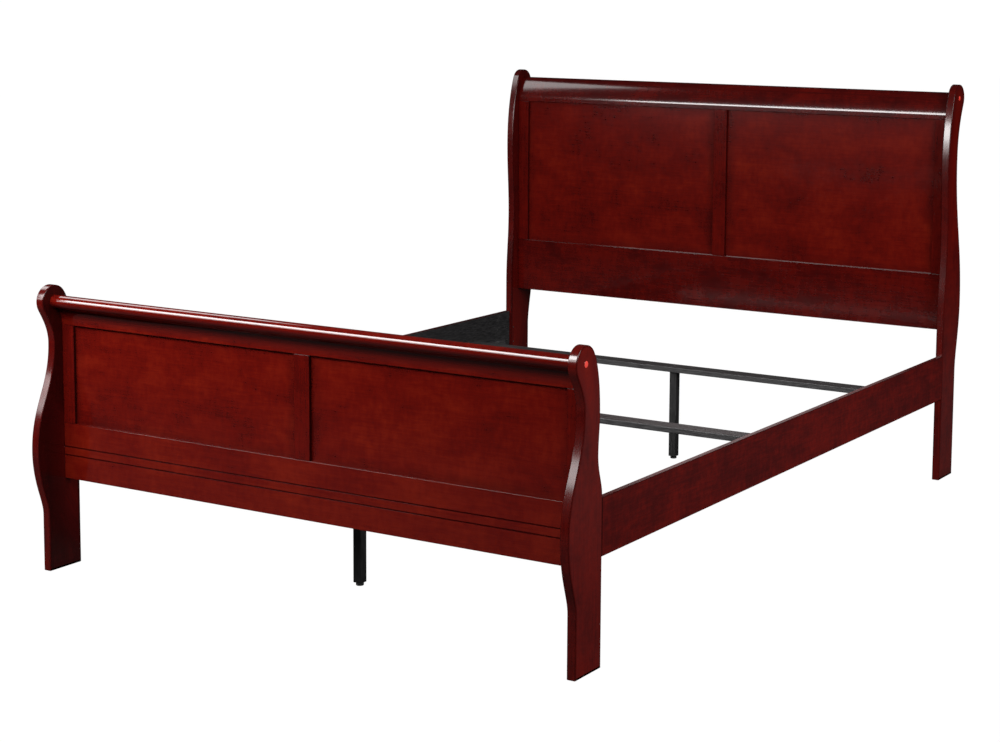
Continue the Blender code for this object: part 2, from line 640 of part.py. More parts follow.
# ---------------------------------------------------------------- the bed
def build():
    clear_scene()
    mats = {
        "post": material("cherry_post", (0.115, 0.010, 0.008), 0.22),
        "rail": material("cherry_rail", (0.120, 0.010, 0.008), 0.22),
        "panel": material("cherry_panel", (0.145, 0.012, 0.009), 0.25),
        "side_rail": material("cherry_side_rail", (0.105, 0.011, 0.009), 0.25),
        "plug": material("cherry_plug", (0.300, 0.020, 0.012), 0.18),
        "black_wood": material("black_wood", (0.014, 0.013, 0.013), 0.45),
        "black_leg": material("black_leg", (0.010, 0.010, 0.011), 0.35),
        "steel": material("zinc_steel", (0.42, 0.40, 0.37), 0.35, 1.0),
        "foot": material("black_foot", (0.008, 0.008, 0.008), 0.50),
    }
    head_scroll = Scroll(HEADBOARD_SCROLL_OUT, HEADBOARD_HEIGHT, *HEADBOARD_ROLL)
    head_post = board_post_outline(HEADBOARD_HEIGHT, head_scroll, LEG_DEPTH + HEADBOARD_BULGE,
                                   HEADBOARD_NECK_OUT, HEADBOARD_FLARE_DROP, HEADBOARD_BELLY,
                                   HEADBOARD_NECK, HEADBOARD_NECK_PULL, HEADBOARD_BACK)
    head = Board("headboard", HEAD_LEG_INNER, 1, HEADBOARD_FRAME_SETBACK,
                 (HEADBOARD_RAIL_BOTTOM, HEADBOARD_RAIL_TOP, HEADBOARD_TOP_RAIL_BOTTOM),
                 head_scroll, head_post)
    foot_scroll = Scroll(FOOTBOARD_SCROLL_OUT, FOOTBOARD_HEIGHT, *FOOTBOARD_ROLL)
    foot_post = board_post_outline(FOOTBOARD_HEIGHT, foot_scroll, LEG_DEPTH + FOOTBOARD_BULGE,
                                   FOOTBOARD_NECK_OUT, FOOTBOARD_FLARE_DROP, FOOTBOARD_BELLY,
                                   FOOTBOARD_NECK, FOOTBOARD_NECK_PULL, FOOTBOARD_BACK)
    foot = Board("footboard", FOOT_LEG_INNER, -1, FOOTBOARD_FRAME_SETBACK,
                 (FOOTBOARD_RAIL_BOTTOM, FOOTBOARD_RAIL_TOP, FOOTBOARD_TOP_RAIL_BOTTOM),
                 foot_scroll, foot_post, BEAD_HEIGHTS)
    for board in (head, foot):
        make_board(board, mats)
    for side, label in ((-1, "left"), (1, "right")):
        make_side_rail(side, label, (head, foot), mats)
    for row in SLAT_FROM_FOOT:
        make_slat(row, mats)


build()
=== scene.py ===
# %% [markdown]
# # A lacquered cherry sleigh bed
#
# The bed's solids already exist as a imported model, in metres, +Z up, +Y towards the headboard.
# Here they get their finish: rounded arrises, smooth scrolls, stained and lacquered wood, black
# painted slats, plated steel. Places come from the model's boxes, so the fine pieces sit where the
# solids do.

import bmesh
import bpy
import numpy as np
from mathutils import Matrix, Vector


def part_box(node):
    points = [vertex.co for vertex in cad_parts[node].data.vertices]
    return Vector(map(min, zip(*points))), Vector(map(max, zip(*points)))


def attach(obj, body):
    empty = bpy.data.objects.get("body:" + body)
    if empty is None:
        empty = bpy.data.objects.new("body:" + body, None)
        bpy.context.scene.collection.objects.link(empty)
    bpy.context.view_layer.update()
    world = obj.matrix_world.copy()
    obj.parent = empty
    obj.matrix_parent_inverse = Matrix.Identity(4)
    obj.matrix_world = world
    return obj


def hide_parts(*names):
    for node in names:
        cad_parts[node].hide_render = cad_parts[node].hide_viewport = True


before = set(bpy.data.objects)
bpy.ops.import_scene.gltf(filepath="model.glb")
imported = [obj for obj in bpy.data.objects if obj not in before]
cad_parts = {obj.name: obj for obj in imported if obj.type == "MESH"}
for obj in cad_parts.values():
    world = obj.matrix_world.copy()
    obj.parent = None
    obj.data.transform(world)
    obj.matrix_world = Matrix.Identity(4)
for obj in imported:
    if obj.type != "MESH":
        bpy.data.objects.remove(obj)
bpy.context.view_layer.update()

# %% [markdown]
# ## Places
#
# The places that follow are read from the solids' boxes. A box doesn't show how a section curves,
# so the sizes of curves are written out. A point of an end board is described by how far it lies
# outwards from the legs' mattress face, so the headboard and the footboard can share their
# functions: at the head outwards is +Y, and at the foot it is -Y.

# %% Boxes and sizes
def low(node):
    return np.array(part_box(node)[0])


def high(node):
    return np.array(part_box(node)[1])


X, Y, Z = 0, 1, 2
POST_OUTER = high("headboard_post_right")[X]
POST_INNER = low("headboard_post_right")[X]
RAIL_INNER = low("side_rail_right")[X]
HEAD_LEG_FACE = low("headboard_post_right")[Y]
FOOT_LEG_FACE = high("footboard_post_right")[Y]
HEAD_TOP = high("headboard_post_right")[Z]
FOOT_TOP = high("footboard_post_right")[Z]
LEG_DEPTH = 0.110
SCROLL_RADIUS = 0.042
print("posts:", POST_INNER, POST_OUTER, "leg faces:", HEAD_LEG_FACE, FOOT_LEG_FACE)

# %% [markdown]
# ## Camera
#
# The bed is seen from its right front corner, a little above the headboard, with a long lens.
# Turning about Z, then tipping about X, then a touch of roll keeps each angle readable.

# %% The camera
SENSOR_WIDTH, LENS = 36.0, 73.75
SHIFT_X, SHIFT_Y = -0.0839, -0.1356
EYE = (3.0164, -4.8680, 1.5134)
TURN, TIP, ROLL = 0.5351, np.pi / 2 - 0.1215, 0.0101

camera_data = bpy.data.cameras.new("camera")
camera_data.sensor_width = SENSOR_WIDTH
camera_data.lens = LENS
camera_data.shift_x = SHIFT_X
camera_data.shift_y = SHIFT_Y
camera = bpy.data.objects.new("camera", camera_data)
bpy.context.scene.collection.objects.link(camera)
camera.matrix_world = (Matrix.Translation(EYE) @ Matrix.Rotation(TURN, 4, "Z")
                       @ Matrix.Rotation(TIP, 4, "X") @ Matrix.Rotation(ROLL, 4, "Z"))
bpy.context.scene.camera = camera
print("camera at", EYE, "with a lens of", LENS, "mm")

# %% [markdown]
# ## Light
#
# Lacquer shows its lamps. A long softbox stands at the front left and draws one bright line along
# each rolled edge. A dimmer strip below it only widens that reflection. One overhead at the left
# draws a second line. The rest lift the floor and the faces that look right, forwards and back. The
# surroundings stay dim, so the red keeps its depth.

# %% Lamps
def softbox(name, place, target, size, brightness, tip=0.0, mirrored=True, lights=True):
    """An area lamp. brightness is its surface's: the watts over pi times its area.

    tip turns it in its own plane, in radians, and a positive one lowers the end at -X.
    A lamp that isn't mirrored lights the bed but leaves no reflection in the lacquer. One that
    doesn't light only draws a reflection, like a sheet of white card.
    """
    data = bpy.data.lights.new(name, "AREA")
    data.shape = "RECTANGLE"
    data.size, data.size_y = size
    data.energy = brightness * np.pi * size[0] * size[1]
    lamp = bpy.data.objects.new(name, data)
    aim = (Vector(target) - Vector(place)).to_track_quat("-Z", "Y").to_matrix().to_4x4()
    lamp.matrix_world = Matrix.Translation(place) @ aim @ Matrix.Rotation(tip, 4, "Z")
    lamp.visible_camera = False
    lamp.visible_glossy = mirrored
    lamp.visible_diffuse = lights
    bpy.context.scene.collection.objects.link(lamp)


softbox("key", (-1.02, -2.40, 1.76), (-1.02, -0.30, 0.51), (2.65, 0.68), 22.0, tip=0.08)
softbox("key_skirt", (-1.15, -2.70, 1.29), (-1.15, -0.60, 0.04), (2.95, 0.32), 8.0, tip=0.08,
        lights=False)
softbox("overhead", (-2.50, -0.45, 2.70), (-1.30, 0.20, 0.80), (1.20, 1.25), 5.4)
softbox("right_side", (3.6, -0.8, 2.0), (0.8, -0.5, 0.5), (1.8, 1.8), 16.5)
softbox("front_fill", (2.3, -4.2, 2.6), (0.3, 0.0, 0.5), (2.4, 1.6), 8.5, mirrored=False)
softbox("floor_wash", (2.3, 1.2, 1.4), (2.3, 1.2, 0.0), (1.6, 3.0), 5.0, mirrored=False)
softbox("rear_fill", (-1.2, 5.2, 2.4), (-0.2, 1.2, 0.7), (3.0, 1.8), 7.0, mirrored=False)
print("lamps placed")

# %% Shader helpers
class Term:
    """An output of a shader node. Sums and products of terms add Math nodes."""

    def __init__(self, shader, socket):
        self.shader = shader
        self.socket = socket

    def math(self, operation, *others, flip=False):
        values = [self, *others]
        if flip:
            values.reverse()
        return self.shader.add("Math", {"operation": operation}, dict(enumerate(values)))

    def __add__(self, other):
        return self.math("ADD", other)

    def __sub__(self, other):
        return self.math("SUBTRACT", other)

    def __rsub__(self, other):
        return self.math("SUBTRACT", other, flip=True)

    def __mul__(self, other):
        return self.math("MULTIPLY", other)

    def __abs__(self):
        return self.math("ABSOLUTE")

    __radd__ = __add__


class Shader:
    """One material's nodes. add() makes any node: its settings first, then its inputs."""

    def __init__(self, name):
        self.material = bpy.data.materials.new(name)
        self.material.use_nodes = True
        self.nodes = self.material.node_tree.nodes
        self.links = self.material.node_tree.links
        self.skin = self.nodes["Principled BSDF"]

    def add(self, kind, settings=None, inputs=None, output=0):
        node = self.nodes.new("ShaderNode" + kind)
        for key, value in (settings or {}).items():
            if key == "stops":
                self.set_stops(node.color_ramp.elements, value)
            else:
                setattr(node, key, value)
        for key, value in (inputs or {}).items():
            self.plug(node.inputs[key], value)
        return Term(self, node.outputs[output])

    @staticmethod
    def set_stops(elements, stops):
        while len(elements) < len(stops):
            elements.new(1.0)
        for element, (place, colour) in zip(elements, stops):
            element.position = place
            element.color = (*colour, 1.0)

    def plug(self, socket, value):
        if isinstance(value, Term):
            self.links.new(value.socket, socket)
        else:
            socket.default_value = value

    def surface(self, **inputs):
        """Set the Principled shader's inputs. An underscore in a name stands for a space."""
        for key, value in inputs.items():
            self.plug(self.skin.inputs[key.replace("_", " ")], value)

    def noise(self, place, scale, detail=2.0, roughness=0.5, distortion=0.0):
        return self.add("TexNoise", {}, {"Vector": place, "Scale": scale, "Detail": detail,
                                         "Roughness": roughness, "Distortion": distortion})

    def stretch(self, place, factors):
        return self.add("VectorMath", {"operation": "MULTIPLY"}, {0: place, 1: factors})

    def shift(self, place, offset):
        return self.add("VectorMath", {"operation": "ADD"}, {0: place, 1: offset})

    def step(self, value, start, end):
        """0 below start, 1 above end, and smooth between."""
        return self.add("MapRange", {"interpolation_type": "SMOOTHSTEP"},
                        {"Value": value, "From Min": start, "From Max": end})

    def mix(self, factor, first, second):
        return self.add("Mix", {"data_type": "RGBA"}, {0: factor, 6: first, 7: second}, output=2)


def rgb(red, green, blue):
    return (red, green, blue, 1.0)


# %% Stage
FLOOR_SIZE = 60.0
PAPER_GLOW = 1.03
ROOM_GLOW = 0.03


def make_stage():
    """A white floor and surroundings that look white, but light the bed only dimly."""
    bpy.ops.mesh.primitive_plane_add(size=FLOOR_SIZE)
    floor = bpy.context.object
    floor.name = "floor"
    paper = Shader("white_paper")
    paper.surface(Base_Color=rgb(0.025, 0.025, 0.025), Roughness=0.9, Specular_IOR_Level=0.0)
    glow = paper.add("Emission", {}, {"Color": rgb(1.0, 1.0, 1.0), "Strength": PAPER_GLOW})
    seen = paper.add("LightPath", {}, {}, "Is Camera Ray")
    mixed = paper.add("MixShader", {}, {0: seen * 0.98})
    paper.links.new(paper.skin.outputs[0], mixed.socket.node.inputs[1])
    paper.links.new(glow.socket, mixed.socket.node.inputs[2])
    paper.links.new(mixed.socket, paper.nodes["Material Output"].inputs["Surface"])
    floor.data.materials.append(paper.material)


def make_world():
    """White behind the bed for the camera, and a dim white room for everything else."""
    world = bpy.data.worlds.new("studio")
    world.use_nodes = True
    nodes, links = world.node_tree.nodes, world.node_tree.links
    room = nodes["Background"]
    room.inputs["Color"].default_value = rgb(1.0, 1.0, 1.0)
    room.inputs["Strength"].default_value = ROOM_GLOW
    paper = nodes.new("ShaderNodeBackground")
    paper.inputs["Color"].default_value = rgb(1.0, 1.0, 1.0)
    paper.inputs["Strength"].default_value = PAPER_GLOW
    path = nodes.new("ShaderNodeLightPath")
    mixed = nodes.new("ShaderNodeMixShader")
    links.new(path.outputs["Is Camera Ray"], mixed.inputs[0])
    links.new(room.outputs[0], mixed.inputs[1])
    links.new(paper.outputs[0], mixed.inputs[2])
    links.new(mixed.outputs[0], nodes["World Output"].inputs["Surface"])
    bpy.context.scene.world = world


make_stage()
make_world()
bpy.context.scene.view_settings.view_transform = "Standard"

# %% [markdown]
# ## Stained and lacquered wood
#
# A maker stains this kind of bed in coats: the wood's own figure shows first, the stain takes
# unevenly in soft clouds, it darkens along arrises, and a glossy clear lacquer lies over all of it.
# So the colour is built in the same order, and the gloss is a coat. Shade is painted into the
# colour as well: at the panels' borders, in V-grooves, on stiles' sides, under the top rails'
# noses and on the posts' mattress sides.
# Patterns are read in the object's own coordinates and stretched along the board's grain.

# %% Cherry
STRETCH = 14.0
GRAIN = {axis: tuple(1.0 if other == axis else STRETCH for other in "xyz") for axis in "xyz"}
CROSS_GRAIN = {axis: tuple(STRETCH if other == axis else 1.0 for other in "xyz") for axis in "xyz"}
STAINS = ((0.0, (0.0120, 0.0007, 0.0006)), (0.3, (0.0280, 0.0011, 0.0010)),
          (0.62, (0.0620, 0.0022, 0.0012)), (1.0, (0.1020, 0.0060, 0.0020)))
# The colour of the panels' borders: stain and painted shade.
BORDER_STAIN_AND_SHADE = rgb(0.0180, 0.0009, 0.0009)
# Colour of the arrises' stain, and of the painted shade in V-grooves and on stiles' sides.
ARRIS_STAIN_AND_SHADE = rgb(0.0120, 0.0012, 0.0012)
# How much each pattern shifts the stain's depth, and the depth where none of them does.
CLOUD, FLECK, FIGURE, STREAK = 0.75, 0.42, 0.36, 0.22
EVEN_DEPTH = 0.62
# Boards of different tone read different places of the pattern, this far apart per unit of tone.
BOARD_STEP = {"X": 3.7, "Y": 9.1, "Z": 5.3}


def along_grain(shader, place, axis, length):
    """Coordinates in which a feature is STRETCH times longer along the grain than across it."""
    return shader.stretch(place, tuple(factor / length for factor in GRAIN[axis]))


def cherry_colour(shader, axis, clouds=1.0):
    """Stained cherry: base colour, and a height for the bump.

    The colour runs through STAINS by depth. clouds is how strongly the stain mottles.
    """
    place = shader.add("TexCoord", {}, {}, "Object")
    tone = shader.add("Attribute", {"attribute_name": "tone"}, {}, "Fac")
    arris = shader.add("Attribute", {"attribute_name": "arris"}, {}, "Fac")
    board = shader.add("CombineXYZ", {}, {key: tone * step for key, step in BOARD_STEP.items()})
    place = shader.shift(place, board)
    soft = tuple(factor ** 0.2 for factor in GRAIN[axis])
    cloud = shader.noise(shader.stretch(place, soft), 7.0, 4.0, 0.55, 0.3)
    figure = shader.noise(along_grain(shader, place, axis, 0.10), 1.0, 3.0, 0.6, 0.6)
    streak = shader.noise(along_grain(shader, place, axis, 0.030), 1.0, 2.0, 0.5)
    ripple = tuple(factor ** 0.25 / 0.030 for factor in CROSS_GRAIN[axis])
    fleck = shader.noise(shader.stretch(place, ripple), 1.0, 3.0, 0.6)
    depth = (cloud - 0.5) * (CLOUD * clouds) + (figure - 0.5) * FIGURE + (streak - 0.5) * STREAK
    depth = depth + (fleck - 0.5) * (FLECK * clouds) + EVEN_DEPTH + tone
    stain = shader.add("ValToRGB", {"stops": STAINS}, {"Fac": depth})
    # Stain on the rounded arrises, and painted shade in V-grooves and on stiles' shadowed sides.
    stain = shader.mix(arris * 0.5, stain, ARRIS_STAIN_AND_SHADE)
    return stain, figure * 0.5


def border_stain_and_shade(shader, nodes):
    """1 along a panel's border, 0 further in: stain against the frame, and painted shade there.

    The distance to the nearest edge is a minimum of plain coordinate differences, and a noise
    makes the border's width wander. middle is half the centre stile's width, and hidden is about
    how much of a panel's edge its groove hides.
    """
    middle, hidden, sway = 0.023, 0.008, 0.035
    place = shader.add("TexCoord", {}, {}, "Object")
    x, z = (shader.add("SeparateXYZ", {}, {0: place}, axis) for axis in "XZ")
    lows, highs = np.min([low(n) for n in nodes], axis=0), np.max([high(n) for n in nodes], axis=0)
    across = abs(abs(x) - (highs[X] + middle) / 2) * -1.0 + (highs[X] - middle) / 2
    upright = abs(z - (lows[Z] + highs[Z]) / 2) * -1.0 + (highs[Z] - lows[Z]) / 2
    nearest = across.math("MINIMUM", upright) - hidden
    wander = shader.noise(place, 18.0, 1.0, 0.5) - 0.5
    return 1.0 - shader.step(nearest + wander * sway, -0.006, 0.034)


def cherry(name, axis, clouds=1.0, gloss=0.06, panels=()):
    """Stained cherry under a clear coat. gloss is the coat's roughness.

    panels names the panels whose borders get stain and painted shade.
    """
    shader = Shader(name)
    stain, height = cherry_colour(shader, axis, clouds)
    if panels:
        # Stain, and painted shade where the frame shades the panel, darken the panels' borders.
        stain = shader.mix(border_stain_and_shade(shader, panels) * 0.40, stain, BORDER_STAIN_AND_SHADE)
    relief = shader.add("Bump", {}, {"Strength": 0.04, "Distance": 0.0004, "Height": height})
    arris = shader.add("Attribute", {"attribute_name": "arris"}, {}, "Fac")
    shader.surface(Base_Color=stain, Roughness=0.6, Coat_Weight=1.0 - arris * 0.56,
                   Coat_Roughness=gloss, Normal=relief, Specular_IOR_Level=0.0)
    return shader


POST_CHERRY = cherry("post_cherry", "z", 0.7, gloss=0.17).material
STILE_CHERRY = cherry("stile_cherry", "z", 0.8, gloss=0.10).material
RAIL_CHERRY = cherry("rail_cherry", "x", 0.9, gloss=0.10).material
ROLL_CHERRY = {board: cherry(board + "_roll_cherry", "x", 0.9, gloss).material
               for board, gloss in (("headboard", 0.13), ("footboard", 0.06))}
PANEL_CHERRY = {board: cherry(board + "_panel_cherry", "x", 1.0, 0.11,
                              [board + "_panel_left", board + "_panel_right"]).material
                for board in ("headboard", "footboard")}


def plug_finish():
    """Turned end grain, stained a brighter red than the boards, under clear lacquer."""
    shader = Shader("plug_cherry")
    place = shader.add("TexCoord", {}, {}, "Object")
    mottle = shader.noise(place, 260.0, 2.0)
    stain = shader.mix(mottle, rgb(0.34, 0.016, 0.010), rgb(0.56, 0.036, 0.020))
    shader.surface(Base_Color=stain, Roughness=0.6, Coat_Weight=1.0, Coat_Roughness=0.12)
    return shader.material


PLUG_CHERRY = plug_finish()
print("cherry materials made")

# %% [markdown]
# ## Paint, steel and plastic

# %% Black paint
def black_paint(shader, axis, shade=1.0):
    """Thin black paint on softwood: grain shows through it, and it is scuffed grey in places.

    shade scales the paint's brightness, but not the scuffs'; below 1 it is painted shade.
    """
    place = shader.add("TexCoord", {}, {}, "Object")
    grain = shader.noise(along_grain(shader, place, axis, 0.03), 1.0, 4.0, 0.65, 0.4)
    patch = shader.noise(place, 11.0, 3.0, 0.6)
    rub = shader.noise(along_grain(shader, place, axis, 0.012), 1.0, 2.0) * patch
    scuff = shader.step(rub, 0.36, 0.46)
    colour = shader.mix(shader.step(grain, 0.35, 0.75),
                        rgb(0.014 * shade, 0.0135 * shade, 0.014 * shade),
                        rgb(0.050 * shade, 0.048 * shade, 0.049 * shade))
    colour = shader.mix(scuff * 0.5, colour, rgb(0.09, 0.088, 0.085))
    roughness = 0.40 + scuff * 0.2 + (grain - 0.5) * 0.2
    return colour, roughness, grain


def painted(name, axis, shade=1.0):
    shader = Shader(name)
    colour, roughness, grain = black_paint(shader, axis, shade)
    relief = shader.add("Bump", {}, {"Strength": 0.25, "Distance": 0.0008, "Height": grain})
    shader.surface(Base_Color=colour, Roughness=roughness, Normal=relief)
    return shader.material


def side_rail_finish():
    """Thinly lacquered cherry outside and on the edges, black paint on the mattress side."""
    satin, coat = 0.42, 0.55
    shader = cherry("side_rail_cherry", "y", 0.9, gloss=0.14)
    stain = shader.skin.inputs["Base Color"].links[0].from_socket
    place = shader.add("TexCoord", {}, {}, "Object")
    across = shader.add("SeparateXYZ", {}, {0: place}, "X")
    inside = 1.0 - shader.step(abs(across), RAIL_INNER + 0.0006, RAIL_INNER + 0.0016)
    # The mattress side's black is darkened: painted shade.
    colour, roughness, _ = black_paint(shader, "y", 0.6)
    mixed = shader.mix(inside, Term(shader, stain), colour)
    shader.surface(Base_Color=mixed, Roughness=inside * (roughness - satin) + satin,
                   Coat_Weight=coat - inside * coat)
    return shader.material


SLAT_PAINT = painted("slat_paint", "x")
# The legs' paint is darkened: painted shade under the bed.
LEG_PAINT = painted("leg_paint", "z", 0.34)
CLEAT_PAINT = painted("cleat_paint", "y")
SIDE_RAIL_CHERRY = side_rail_finish()
print("paint mixed")

# %% Steel and plastic
def zinc_steel():
    """Zinc plate: fine brushed scratches, and cloudy dulling where it has been handled."""
    shader = Shader("zinc_plate")
    place = shader.add("TexCoord", {}, {}, "Object")
    clouds = shader.noise(place, 140.0, 3.0, 0.6)
    scratches = shader.noise(shader.stretch(place, (3000.0, 3000.0, 90.0)), 1.0, 1.0)
    colour = shader.mix(shader.step(clouds, 0.3, 0.7), rgb(0.30, 0.29, 0.27), rgb(0.56, 0.55, 0.52))
    shader.surface(Base_Color=colour, Metallic=1.0,
                   Roughness=0.26 + clouds * 0.15 + scratches * 0.08)
    return shader.material


def moulded_black():
    """Black moulded plastic, with a fine satin grain."""
    shader = Shader("moulded_black")
    place = shader.add("TexCoord", {}, {}, "Object")
    grain = shader.noise(place, 2500.0, 1.0)
    relief = shader.add("Bump", {}, {"Strength": 0.2, "Distance": 0.0002, "Height": grain})
    tone = shader.mix(shader.noise(place, 60.0), rgb(0.006, 0.006, 0.006), rgb(0.013, 0.013, 0.013))
    shader.surface(Base_Color=tone, Roughness=0.45 + grain * 0.1, Normal=relief)
    return shader.material


ZINC = zinc_steel()
MOULDED = moulded_black()
print("steel and plastic made")

# %% [markdown]
# ## Curves and surfaces
#
# A post is a board sawn to an S-shaped outline, with its arrises rounded over. Its surface is a
# function of two parameters: how far along the outline, and how far across the thickness. Near
# each face the outline shrinks inwards along a quarter circle, which makes the rounded arris.

# %% Curves as arrays
def bezier(start, leave, arrive, end, steps=24):
    """Cubic curve: each anchor is weighted by (1-t)^3, 3t(1-t)^2, 3t^2(1-t) and t^3."""
    t = np.linspace(0.0, 1.0, steps + 1)[1:, None]
    weights = ((1 - t) ** 3, 3 * t * (1 - t) ** 2, 3 * t * t * (1 - t), t ** 3)
    return sum(w * np.array(p) for w, p in zip(weights, (start, leave, arrive, end)))


def rise(start, end, leave, arrive):
    """An S-bend, upright at both ends, for the shares leave and arrive of its height."""
    height = end[1] - start[1]
    return bezier(start, (start[0], start[1] + leave * height),
                  (end[0], end[1] - arrive * height), end)


def arc(centre, radius, first, last, steps=32):
    """centre + radius times (cosine, sine) of an angle in degrees."""
    angles = np.radians(np.linspace(first, last, steps + 1))
    return np.array(centre) + radius * np.stack([np.cos(angles), np.sin(angles)], axis=1)


def heading(degrees):
    """Unit vector that points down and inwards, so many degrees from straight down."""
    return -np.array([np.sin(np.radians(degrees)), np.cos(np.radians(degrees))])


def corner(point, before, after, radius, steps=4):
    """Round a square corner: a quarter circle that touches both of its edges."""
    point = np.array(point)
    t = np.linspace(0.0, np.pi / 2, steps + 1)[:, None]
    return point + radius * ((1 - np.sin(t)) * np.array(before) + (1 - np.cos(t)) * np.array(after))


# %% Post outlines
def scroll_and_neck(points, centre, under, over, fall, pull, shoulder):
    """From the neck out into the scroll, round it, and down to the mattress side's shoulder.

    under and over are where the scroll's circle starts and stops, in degrees. pull and fall are
    the lengths of the curves' handles before and after it.
    """
    neck = points[-1][-1]
    rim = arc(centre, SCROLL_RADIUS, -under, 180 - over, 72)
    points.append(bezier(neck, neck + (0.0, pull), rim[0] + heading(under) * pull / 2, rim[0]))
    points.append(rim[1:])
    points.append(bezier(rim[-1], rim[-1] + heading(over) * fall, shoulder + np.array((0.0, 2 * fall)),
                         shoulder))


def post_outline(outer, inner, scroll):
    """Side view of a post, anticlockwise from the foot of its mattress side, (outwards, up)."""
    ease = 0.0015
    points = [corner((0.0, 0.0), (0, 1), (1, 0), ease),
              corner((LEG_DEPTH, 0.0), (-1, 0), (0, 1), ease)]
    points.append(np.array([outer[0]]))
    for out, up, leave, arrive in outer[1:]:
        points.append(rise(points[-1][-1], (out, up), leave, arrive))
    scroll_and_neck(points, shoulder=np.array(inner[0]), **scroll)
    for out, up, leave, arrive in inner[1:]:
        points.append(rise(points[-1][-1], (out, up), leave, arrive))
    return np.concatenate(points)


HEAD_SCROLL = np.array((0.077, HEAD_TOP - SCROLL_RADIUS))
FOOT_SCROLL = np.array((0.076, FOOT_TOP - SCROLL_RADIUS))
HEAD_OUTLINE = post_outline(
    outer=[(LEG_DEPTH, HEAD_TOP - 0.893), (LEG_DEPTH + 0.0273, HEAD_TOP - 0.675, 0.28, 0.44),
           (0.0755, HEAD_TOP - 0.233, 0.40, 0.42)],
    inner=[(0.002, HEAD_TOP - 0.250), (0.012, HEAD_TOP - 0.490, 0.40, 0.40),
           (0.0, HEAD_TOP - 0.730, 0.40, 0.40)],
    scroll={"centre": HEAD_SCROLL, "under": 25, "over": 22, "fall": 0.050, "pull": 0.090})
FOOT_OUTLINE = post_outline(
    outer=[(LEG_DEPTH, FOOT_TOP - 0.594), (LEG_DEPTH + 0.034, FOOT_TOP - 0.424, 0.23, 0.50),
           (0.080, FOOT_TOP - 0.150, 0.44, 0.42)],
    inner=[(0.013, FOOT_TOP - 0.160), (0.0185, FOOT_TOP - 0.254, 0.40, 0.40),
           (0.0, FOOT_TOP - 0.346, 0.40, 0.30)],
    scroll={"centre": FOOT_SCROLL, "under": 27, "over": 35, "fall": 0.032, "pull": 0.040})
print("outline points:", len(HEAD_OUTLINE), len(FOOT_OUTLINE))


# %% Surfaces from rings
def ring_object(name, rings, arris=None, tone=0.0):
    """Closed surface through rings of equal length, capped flat at both ends.

    rings is an array (ring, point, xyz). arris gives each ring's share of edge stain, and tone
    is one value or an array that fits (ring, point).
    """
    count, size = rings.shape[:2]
    ids = np.arange(count * size).reshape(count, size)
    nearer, further = ids[:-1], ids[1:]
    quads = np.stack([nearer, np.roll(nearer, -1, 1), np.roll(further, -1, 1), further], axis=-1)
    faces = quads.reshape(-1, 4).tolist() + [ids[0][::-1].tolist(), ids[-1].tolist()]
    mesh = bpy.data.meshes.new(name)
    mesh.from_pydata(rings.reshape(-1, 3), [], faces)
    add_value(mesh, "tone", np.broadcast_to(tone, (count, size)).ravel())
    add_value(mesh, "arris", np.repeat(np.zeros(count) if arris is None else arris, size))
    outwards(mesh)
    piece = bpy.data.objects.new(name, mesh)
    bpy.context.scene.collection.objects.link(piece)
    return piece


def add_value(mesh, name, values):
    mesh.attributes.new(name, "FLOAT", "POINT").data.foreach_set("value", values)


def outwards(mesh):
    """Make every face point out."""
    bm = bmesh.new()
    bm.from_mesh(mesh)
    bmesh.ops.recalc_face_normals(bm, faces=bm.faces)
    bm.to_mesh(mesh)
    bm.free()


def mitred_normals(outline):
    """At each point, the step that moves both neighbouring edges outwards by one unit."""
    edges = np.roll(outline, -1, 0) - outline
    edges /= np.linalg.norm(edges, axis=1, keepdims=True)
    right = np.stack([edges[:, 1], -edges[:, 0]], axis=1)
    left = np.roll(right, 1, 0)
    return (left + right) / (1 + (left * right).sum(1, keepdims=True))


def board_rings(outline, start, end, radius, place, steps=5):
    """Carry an outline from start to end, rounding the arrises at both ends.

    Near an end the outline is drawn in by radius * (1 - cos a) at a depth of radius * (1 - sin a).
    place(along, first, second) turns the three numbers into xyz.
    """
    angles = np.linspace(0.0, np.pi / 2, steps)
    inset = radius * (1 - np.cos(angles))
    depth = radius * (1 - np.sin(angles))
    flat = radius * 2.2
    insets = np.concatenate([[flat], inset[::-1], inset, [flat]])
    alongs = np.concatenate([[start], start + depth[::-1], end - depth, [end]])
    stain = np.concatenate([[0.0], np.ones(steps), np.ones(steps), [0.0]])
    stain[[steps, steps + 1]] = 0.0
    spots = outline[None] - insets[:, None, None] * mitred_normals(outline)[None]
    along = np.broadcast_to(alongs[:, None], spots.shape[:2])
    return place(along, spots[..., 0], spots[..., 1]), stain


def end_board_place(face, outward):
    """xyz from a distance along X, a distance outwards from the leg's face, and a height."""
    def place(along, out, up):
        return np.stack([along, face + outward * out, up], axis=-1)
    return place


def settle(piece):
    """Bake a piece's modifiers into its own mesh."""
    settled = bpy.data.meshes.new_from_object(
        piece.evaluated_get(bpy.context.evaluated_depsgraph_get()))
    piece.modifiers.clear()
    piece.data = settled


def smooth(piece, angle=40.0):
    """Shade smoothly, with each corner's normal leaning to its largest faces.

    A plain average would tilt the normals of a wide flat face towards its narrow rounded edges,
    and a lacquered board would then reflect like a bent mirror.
    """
    piece.data.shade_smooth()
    piece.data.set_sharp_from_angle(angle=np.radians(angle))
    lean = piece.modifiers.new("lean", "WEIGHTED_NORMAL")
    lean.keep_sharp, lean.weight, lean.thresh = True, 100, 0.0001
    settle(piece)


